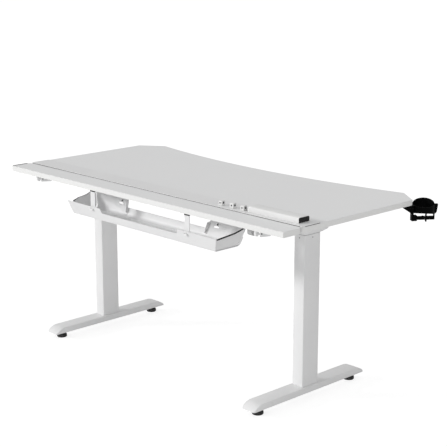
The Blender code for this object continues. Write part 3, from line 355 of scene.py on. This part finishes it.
def ring(bm, origin, axis, radius, height, steps, hexagonal=False):
    """Ring of vertices at a height along axis, or a single one if radius is zero."""
    axis = Vector(axis).normalized()
    side = axis.orthogonal().normalized()
    other = axis.cross(side)
    centre = Vector(origin) + axis * height
    if radius == 0:
        return [bm.verts.new(centre)]
    verts = []
    for k in range(steps):
        angle = 2 * math.pi * k / steps
        reach = hexagon_reach(radius, angle) if hexagonal else radius
        way = side * math.cos(angle) + other * math.sin(angle)
        verts.append(bm.verts.new(centre + way * reach))
    return verts


def lathe(bm, profile, origin, axis, steps=20):
    """Turned solid: profile of (radius, height) along axis from origin."""
    rings = [ring(bm, origin, axis, radius, height, steps) for radius, height in profile]
    for a, b in zip(rings, rings[1:]):
        if len(a) == len(b):
            bridge(bm, a, b)
            continue
        for k in range(steps):
            j = (k + 1) % steps
            bm.faces.new((a[0], b[k], b[j]) if len(a) == 1 else (a[k], b[0], a[j]))


def block(bm, low, high, bevel, segments):
    """Bevelled block."""
    verts = bmesh.ops.create_cube(bm, size=1.0)["verts"]
    bmesh.ops.scale(bm, vec=[h - l for l, h in zip(low, high)], verts=verts)
    bmesh.ops.translate(bm, vec=[(h + l) / 2 for l, h in zip(low, high)], verts=verts)
    edges = {edge for vert in verts for edge in vert.link_edges}
    bmesh.ops.bevel(bm, geom=list(edges), offset=bevel, segments=segments, affect="EDGES",
                    profile=0.5)


def prism(bm, outline, start, end, axis="X"):
    """Outline extruded along X, drawn as (y, z), or along Y, drawn as (x, z)."""
    def cap(d):
        return [bm.verts.new((d, p, z) if axis == "X" else (p, d, z)) for p, z in outline]
    a = cap(start)
    b = cap(end)
    bm.faces.new(a)
    bm.faces.new(list(reversed(b)))
    bridge(bm, a, b)


def chamfered(y0, y1, z0, z1, cut_y, cut_z):
    """Rectangle with its two upper corners cut off."""
    return [(y0, z0), (y1, z0), (y1, z1 - cut_z), (y1 - cut_y, z1),
            (y0 + cut_y, z1), (y0, z1 - cut_z)]


def rounded(centre_y, z0, width, height, radius, steps=6):
    """Rectangle standing on z0 with its two upper corners rounded."""
    points = [(centre_y - width / 2, z0), (centre_y + width / 2, z0)]
    for side, start in ((1, 0.0), (-1, math.pi / 2)):
        y, z = centre_y + side * (width / 2 - radius), z0 + height - radius
        for k in range(steps + 1):
            angle = start + math.pi / 2 * k / steps
            points.append((y + radius * math.cos(angle), z + radius * math.sin(angle)))
    return points


# ------------------------------------------------------------------ levelling feet
THREAD_Z = (0.0175, 0.0290)
THREAD_ROOT, THREAD_CREST, THREAD_PITCH = 0.0039, 0.00425, 0.00125
THREAD_STEPS = 16       # sections per turn
THREAD_SINK = 0.0003    # how far the ridge reaches into the stud
NUT_Z = (0.0172, 0.0222)
NUT_BORE = 0.0041       # radius
NUT_FLATS = 0.0130      # width across flats
NUT_STEPS = 36


def thread(bm, x, y):
    """Triangular ridge wound about a vertical stud, tapered out at both ends."""
    z0, z1 = THREAD_Z
    turns = (z1 - z0) / THREAD_PITCH
    count = int(turns * THREAD_STEPS)
    root = THREAD_ROOT - THREAD_SINK
    half_width = THREAD_PITCH * 0.42
    taper = THREAD_STEPS * 0.5
    sections = []
    for i in range(count + 1):
        u = i / count
        angle = 2 * math.pi * turns * u
        z = z0 + (z1 - z0) * u
        fade = min(1.0, u * count / taper, (1 - u) * count / taper)
        crest = THREAD_ROOT + (THREAD_CREST - THREAD_ROOT) * max(0.02, fade)
        sections.append([
            bm.verts.new((x + radius * math.cos(angle), y + radius * math.sin(angle), z + rise))
            for radius, rise in ((root, -half_width), (crest, 0.0), (root, half_width))])
    for a, b in zip(sections, sections[1:]):
        bridge(bm, a, b)
    bm.faces.new(sections[0])
    bm.faces.new(list(reversed(sections[-1])))


def lock_nut(bm, x, y):
    """Upright hexagon nut with chamfered corners and a bore."""
    z0, z1 = NUT_Z
    chamfer = (z1 - z0) * 0.14
    chamfered_reach = NUT_FLATS / 2 * 1.1547 * 0.94

    def level(z, reach_limit, hexagonal=True):
        verts = []
        for k in range(NUT_STEPS):
            angle = 2 * math.pi * k / NUT_STEPS
            reach = hexagon_reach(NUT_FLATS / 2, angle) if hexagonal else reach_limit
            reach = min(reach, reach_limit)
            verts.append(bm.verts.new((x + reach * math.cos(angle),
                                       y + reach * math.sin(angle), z)))
        return verts

    loops = [level(z0, chamfered_reach), level(z0 + chamfer, math.inf),
             level(z1 - chamfer, math.inf), level(z1, chamfered_reach),
             level(z1, NUT_BORE, hexagonal=False), level(z0, NUT_BORE, hexagonal=False)]
    for a, b in zip(loops, loops[1:] + loops[:1]):
        bridge(bm, a, b, along_first=False)


def sole(bm, x, y):
    """Pad under the foot with four shallow ring-shaped ribs."""
    profile = [(0.0, 0.0004), (0.006, 0.0004)]
    for k in range(4):
        radius = 0.0065 + k * 0.0034
        profile += [(radius, 0.0001), (radius + 0.0018, 0.0001), (radius + 0.0022, 0.0006)]
    profile += [(0.0203, 0.0008), (0.0, 0.0009)]
    lathe(bm, profile, (x, y, 0.0), (0, 0, 1), steps=40)


# (name, builder, material, sharp angle)
FOOT_PARTS = (
    ("stud_thread", thread, ZINC, 60),
    ("lock_nut", lock_nut, ZINC, 35),
    ("pad_sole", sole, RUBBER, 40),
)


def levelling_foot(place):
    node = f"levelling_foot_{place}"
    low, high = node_box(node)
    for name, build, material, sharp in FOOT_PARTS:
        bm = bmesh.new()
        build(bm, (low.x + high.x) / 2, (low.y + high.y) / 2)
        add_piece(f"{name}_{place}", bm, material, f"levelling_{place}", sharp)


for end in ("front", "rear"):
    for side_name, _ in SIDES:
        levelling_foot(f"{end}_{side_name}")


# ------------------------------------------------------------------ screws, hinges and hangers
UNDERSIDE = node_box("desk_top")[0].z
TOP = node_box("desk_top")[1].z
DOWN = (0, 0, -1)

SOCKET_RADIUS, SOCKET_DEPTH = 0.0018, 0.0015
# button head: (share of the radius, share of the height)
HEAD_PROFILE = ((0.9, 0.0), (1, 0.22), (0.96, 0.50), (0.82, 0.80), (0.62, 0.97))
SCREW_STEPS = 24

BRACKET_X = 0.6
BRACKET_STAGGER = 0.022
BRACKET_SCREWS = ((0.205, -1), (0.090, 1), (-0.130, -1), (-0.235, 1))    # (y, stagger side)
HINGE_ARM_X = 0.6475
HINGE_PINS = ((0.3030, 0.7030), (0.2680, 0.7030))   # (y, z)
HANGER_X = 0.281
HOOK_INSET = {"left": 0.0205, "right": 0.0145}      # hook's distance to the left of its hanger


def screw(bm, origin, radius, height):
    """Button-head screw with a hexagon socket, its head pointing down."""
    def level(level_radius, level_height, hexagonal=False):
        return ring(bm, origin, DOWN, level_radius, level_height, SCREW_STEPS, hexagonal)

    rings = [level(radius * r, height * h) for r, h in HEAD_PROFILE]
    rings += [level(SOCKET_RADIUS * 1.28, height),
              level(SOCKET_RADIUS, height * 0.96, True),
              level(SOCKET_RADIUS * 0.96, height - SOCKET_DEPTH, True)]
    for a, b in zip(rings, rings[1:]):
        bridge(bm, a, b, along_first=False)
    socket_tip, = level(0, height - SOCKET_DEPTH * 1.25)
    base, = level(0, 0)
    for k in range(SCREW_STEPS):
        j = (k + 1) % SCREW_STEPS
        bm.faces.new((rings[-1][k], rings[-1][j], socket_tip))
        bm.faces.new((rings[0][j], rings[0][k], base))


def screws(name, spots, radius, height, material=ZINC, body="lift"):
    bm = bmesh.new()
    for spot in spots:
        screw(bm, spot, radius, height)
    add_piece(name, bm, material, body, sharp=30)


def bracket_screws(side, sign):
    spots = [(sign * BRACKET_X + k * BRACKET_STAGGER, y, UNDERSIDE - 0.0033)
             for y, k in BRACKET_SCREWS]
    screws(f"bracket_screws_{side}", spots, radius=0.0052, height=0.0030)


def hinge_details(side, sign):
    """Screws of the hinge's body and arm, and two pins on the arm's left face."""
    low, high = node_box(f"flap_hinge_body_{side}")
    x = (low.x + high.x) / 2
    spots = [(x + k * 0.012, y, low.z) for k in (-1, 1) for y in (low.y + 0.009, high.y - 0.009)]
    screws(f"hinge_body_screws_{side}", spots,
           radius=0.0036, height=0.0018)
    x = sign * HINGE_ARM_X
    spots = [(x + dx, y, UNDERSIDE - 0.0028)
             for dx in (-0.0145, 0.0142) for y in (0.2640, 0.2860, 0.3080)]
    screws(f"hinge_arm_screws_{side}", spots, radius=0.0028, height=0.0014, body="flap")
    bm = bmesh.new()
    profile = [(0.0, -0.0006), (0.0030, -0.0006), (0.0030, 0.0004), (0.0022, 0.0012),
               (0.0, 0.0013)]
    for y, z in HINGE_PINS:
        lathe(bm, profile, (x - 0.0110, y, z), (-1, 0, 0))
    add_piece(f"hinge_pins_{side}", bm, BLACK_STEEL, "flap")


def hanger_details(side, sign):
    """Screws of the tray hanger and a black cap, facing the rear, over its hook, painting the shade
    on the hook's tip.
    """
    x = sign * HANGER_X
    spots = [(x, y, UNDERSIDE - 0.0023) for y in (0.1410, 0.1520)]
    screws(f"hanger_screws_{side}", spots, radius=0.0036, height=0.0018)
    # black cap painting the shade on the hook's tip
    bm = bmesh.new()
    profile = [(0.0, -0.0022), (0.0034, -0.0022), (0.0036, 0.0006), (0.0030, 0.0018),
               (0.0012, 0.0024), (0.0, 0.0025)]
    lathe(bm, profile, (x - HOOK_INSET[side], 0.1745, 0.6504), (0, 0.977, 0.214))
    add_piece(f"hook_tip_shade_{side}", bm, BLACK_STEEL, "lift", sharp=30)


for side_name, side_sign in SIDES:
    bracket_screws(side_name, side_sign)
    hinge_details(side_name, side_sign)
    hanger_details(side_name, side_sign)


# ------------------------------------------------------------------ cable clips and cup holder
CLIP_HOLE_Z = TOP + 0.0126
CLIP_TUNNEL_Y = 0.2180
CUP_CENTRE = Vector((-0.8142, -0.4156, 0.7165))                 # z is the screws' seat
CUP_OUTWARD = Vector((-0.615, -0.788, 0)).normalized()          # away from the desk
CUP_ACROSS = Vector((-0.788, 0.615, 0)).normalized()


def clip_hole_shades(i):
    """Black plug in the clip's rear face and a black ring in each end of its tunnel, painting the
    shade in the hole and the tunnel's ends.
    """
    node = f"cable_clip_{i}"
    low, high = node_box(node)
    bm = bmesh.new()
    hole_shade_plug = [(0.0, -0.0030), (0.0023, -0.0030), (0.0023, 0.0000), (0.0029, 0.0001),
            (0.0026, 0.0007), (0.0012, 0.0005), (0.0, 0.0005)]
    lathe(bm, hole_shade_plug, ((low.x + high.x) / 2, high.y, CLIP_HOLE_Z), (0, 1, 0))
    tunnel_shade_ring = [(0.0028, 0.0002), (0.0039, 0.0002), (0.0039, 0.0040), (0.0028, 0.0040),
             (0.0028, 0.0002)]
    for x, inward in ((low.x, 1), (high.x, -1)):
        lathe(bm, tunnel_shade_ring, (x, CLIP_TUNNEL_Y, CLIP_HOLE_Z), (inward, 0, 0))
    # closes each black ring, whose profile ends where it starts
    bmesh.ops.remove_doubles(bm, verts=bm.verts, dist=0.00001)
    add_piece(f"clip_hole_shades_{i}", bm, SHADE_BLACK, "lift")


for clip in (1, 2, 3):
    clip_hole_shades(clip)
screws("cup_holder_screws",
       [CUP_CENTRE + CUP_ACROSS * a + CUP_OUTWARD * -0.0900 for a in (-0.0175, 0.0175)],
       radius=0.0038, height=0.0018, material=BLACK_STEEL)


# ------------------------------------------------------------------ painted shade: seam and end lines
# outlines: (y0, y1, z0, z1, upper corners' cut along y, along z)
SEAM_SHADE_MIDDLE = (0.2458, 0.2481, 0.7225, 0.7428, 0.0006, 0.0006)
SEAM_SHADE_ENDS = (0.2457, 0.2483, 0.7226, 0.7431, 0.0006, 0.0005)
FLAP_END_SHADE = (0.2660, 0.3400, 0.7400, 0.7434, 0.0006, 0.0004)
STRIP_END_SHADE = (0.1560, 0.2330, 0.7421, 0.7433, 0.0004, 0.0003)
# (name, body, CAD node, bars of (outline, x0, x1)): a black strip painting the shade in the seam
# between strip and flap, and black lines painting the shade along the flap's right end and the
# strip's left end
SHADE_STRIPS = (
    ("seam_shade_strip", "lift", "magnetic_strip", (
        (SEAM_SHADE_MIDDLE, -0.5500, 0.5500),
        (SEAM_SHADE_ENDS, -0.7860, -0.5502),
        (SEAM_SHADE_ENDS, 0.5502, 0.7860))),
    ("flap_end_shade_line", "flap", "rear_flap", ((FLAP_END_SHADE, 0.7976, 0.8008),)),
    ("strip_end_shade_line", "lift", "magnetic_strip", ((STRIP_END_SHADE, -0.8001, -0.7985),)),
)
for shade_name, shade_body, shade_node, bars in SHADE_STRIPS:
    shade_bm = bmesh.new()
    for bar, bar_x0, bar_x1 in bars:
        prism(shade_bm, chamfered(*bar), bar_x0, bar_x1)
    add_piece(shade_name, shade_bm, SHADE_BLACK, shade_body)


# ------------------------------------------------------------------ cover, handset, control box
def cover_end_shades():
    """Black blocks in both ends of the cable cover, painting the shade inside its open ends."""
    low, high = node_box("cable_cover")
    proud, depth, margin = 0.0006, 0.0060, 0.0016
    outline = rounded((low.y + high.y) / 2, low.z + 0.0010, high.y - low.y - margin,
                      high.z - low.z - margin, radius=0.0056)
    for side, x0, x1 in (("left", low.x - proud, low.x + depth),
                         ("right", high.x - depth, high.x + proud)):
        bm = bmesh.new()
        prism(bm, outline, x0, x1)
        add_piece(f"cover_end_shade_{side}", bm, SHADE_BLACK, "lift")


def button_arrow(way, up):
    """Blunt-tipped arrow printed on a handset button's front face."""
    node = f"button_{way}"
    low, high = node_box(node)
    x, z = (low.x + high.x) / 2, (low.z + high.z) / 2
    base_z, tip_z = z - up * 0.0013, z + up * 0.0016
    bm = bmesh.new()
    outline = [(x - 0.0026, base_z), (x + 0.0026, base_z), (x + 0.0004, tip_z),
               (x - 0.0004, tip_z)]
    prism(bm, outline, low.y - 0.00015, low.y + 0.0003, axis="Y")
    add_piece(f"arrow_{way}", bm, PRINT, node)


def handset_lens():
    """Small round lens on the handset's front face."""
    low, high = node_box("handset")
    bm = bmesh.new()
    profile = [(0.0, -0.0002), (0.0016, -0.0002), (0.0016, 0.0003), (0.0011, 0.0006),
               (0.0, 0.0007)]
    lathe(bm, profile, ((low.x + high.x) / 2, low.y, UNDERSIDE - 0.0080), (0, -1, 0))
    add_piece("handset_lens", bm, PRINT, "lift")


def cable_plug(name, x, y, z, out):
    """Plug with a ribbed strain relief; out is the sign of X it points to."""
    bm = bmesh.new()
    end = x + out * 0.0090
    block(bm, (min(x, end), y - 0.0075, z - 0.0050), (max(x, end), y + 0.0075, z + 0.0050),
          bevel=0.0012, segments=2)
    profile = [(0.0, 0.0085), (0.0045, 0.0085)]
    for k in range(4):
        height = 0.0095 + k * 0.0026
        rib = 0.0044 - k * 0.0003
        groove = rib - 0.0011
        profile += [(rib, height), (rib, height + 0.0013),
                    (groove, height + 0.0015), (groove, height + 0.0024)]
    profile += [(0.0026, 0.0205), (0.0, 0.0206)]
    lathe(bm, profile, (x, y, z), (out, 0, 0))
    add_piece(f"plug_{name}", bm, CABLE, "lift")


def control_box_details():
    """Plugs on the box's ends; nine fins and the mains inlet on its rear face."""
    low, high = node_box("control_box")
    cable_plug("motor_left", low.x, -0.120, UNDERSIDE - 0.0150, out=-1)
    cable_plug("motor_right", high.x, -0.120, UNDERSIDE - 0.0150, out=1)
    cable_plug("handset", high.x, -0.170, UNDERSIDE - 0.0080, out=1)
    bm = bmesh.new()
    back, bottom = high.y - 0.0004, low.z + 0.005
    for k in range(9):
        x = low.x + 0.060 + k * 0.0065
        block(bm, (x, back, bottom), (x + 0.0026, high.y + 0.0014, high.z - 0.006),
              bevel=0.0005, segments=1)
    block(bm, (high.x - 0.075, back, bottom), (high.x - 0.050, high.y + 0.0040, low.z + 0.023),
          bevel=0.0015, segments=2)
    add_piece("control_box_fins", bm, BLACK_PLASTIC, "lift")


cover_end_shades()
button_arrow("up", 1.0)
button_arrow("down", -1.0)
handset_lens()
control_box_details()


# ------------------------------------------------------------------ stage: floor, light, camera
def floor_material():
    """Pale floor that lights the desk as a matt surface but glows evenly to the camera."""
    s = Surface("floor_pale")
    tone = s.ramp(s.noise(scale=0.6), span=(0.3, 0.7))
    s.set("Base Color", s.mix(tone, grey(0.86), grey(0.88)))
    s.set("Roughness", 0.9)
    glow = s.add("ShaderNodeEmission", 0, {"Color": grey(1.0), "Strength": 0.80})
    matt = s.add("ShaderNodeBsdfDiffuse", 0, {"Color": grey(0.32)})
    seen = s.add("ShaderNodeAddShader", 0, {0: glow, 1: matt})
    camera_switch(s.tree, s.shader.outputs[0], seen,
                  s.tree.nodes["Material Output"].inputs["Surface"])
    return s.material


def add_floor():
    bm = bmesh.new()
    bmesh.ops.create_grid(bm, x_segments=8, y_segments=8, size=14.0)
    floor = link_mesh("floor", bm)
    floor.location = (SHIFT.x, SHIFT.y, -0.0002)
    floor.data.materials.append(floor_material())


def add_world():
    """White surroundings, brighter to the camera than to the desk."""
    world = bpy.data.worlds.new("studio")
    SCENE.world = world
    world.use_nodes = True
    tree = world.node_tree
    lighting = tree.nodes["Background"]
    feed(tree, lighting.inputs["Color"], grey(1.0))
    feed(tree, lighting.inputs["Strength"], 0.445)
    seen = add_node(tree, "ShaderNodeBackground", 0, {"Color": grey(1.0), "Strength": 1.05})
    camera_switch(tree, lighting.outputs[0], seen, tree.nodes["World Output"].inputs["Surface"])


def aim(direction):
    """Rotation that turns a light or camera to look along direction."""
    return Vector(direction).to_track_quat("-Z", "Y")


def add_sun(name, energy, angle, direction=None, shadow=True):
    """Sun of an angular size in degrees; without a direction it shines straight down."""
    sun = bpy.data.lights.new(name, "SUN")
    sun.energy = energy
    sun.angle = math.radians(angle)
    sun.use_shadow = shadow
    ob = bpy.data.objects.new(name, sun)
    if direction:
        ob.rotation_euler = aim(direction).to_euler()
    SCENE.collection.objects.link(ob)


def add_camera():
    """Long lens looking from the rear left, slightly down."""
    data = bpy.data.cameras.new("camera")
    camera = bpy.data.objects.new("camera", data)
    SCENE.collection.objects.link(camera)
    data.sensor_width = 36.0
    data.lens = 98.46
    data.clip_end = 100.0
    camera.location = Vector((-3.5444, 3.2670, 1.7683)) + SHIFT
    camera.rotation_mode = "QUATERNION"
    camera.rotation_quaternion = aim(Vector((0.6991, -0.6731, -0.2412)).normalized())
    SCENE.camera = camera


add_floor()
add_world()
add_sun("key", energy=1.70, angle=12, direction=(-0.660, -0.690, -0.330))
add_sun("overhead", energy=0.54, angle=80)
add_sun("fill", energy=0.40, angle=30, direction=(0.66, -0.64, -0.38), shadow=False)
add_camera()
SCENE.view_settings.view_transform = "Standard"
SCENE.view_settings.look = "None"
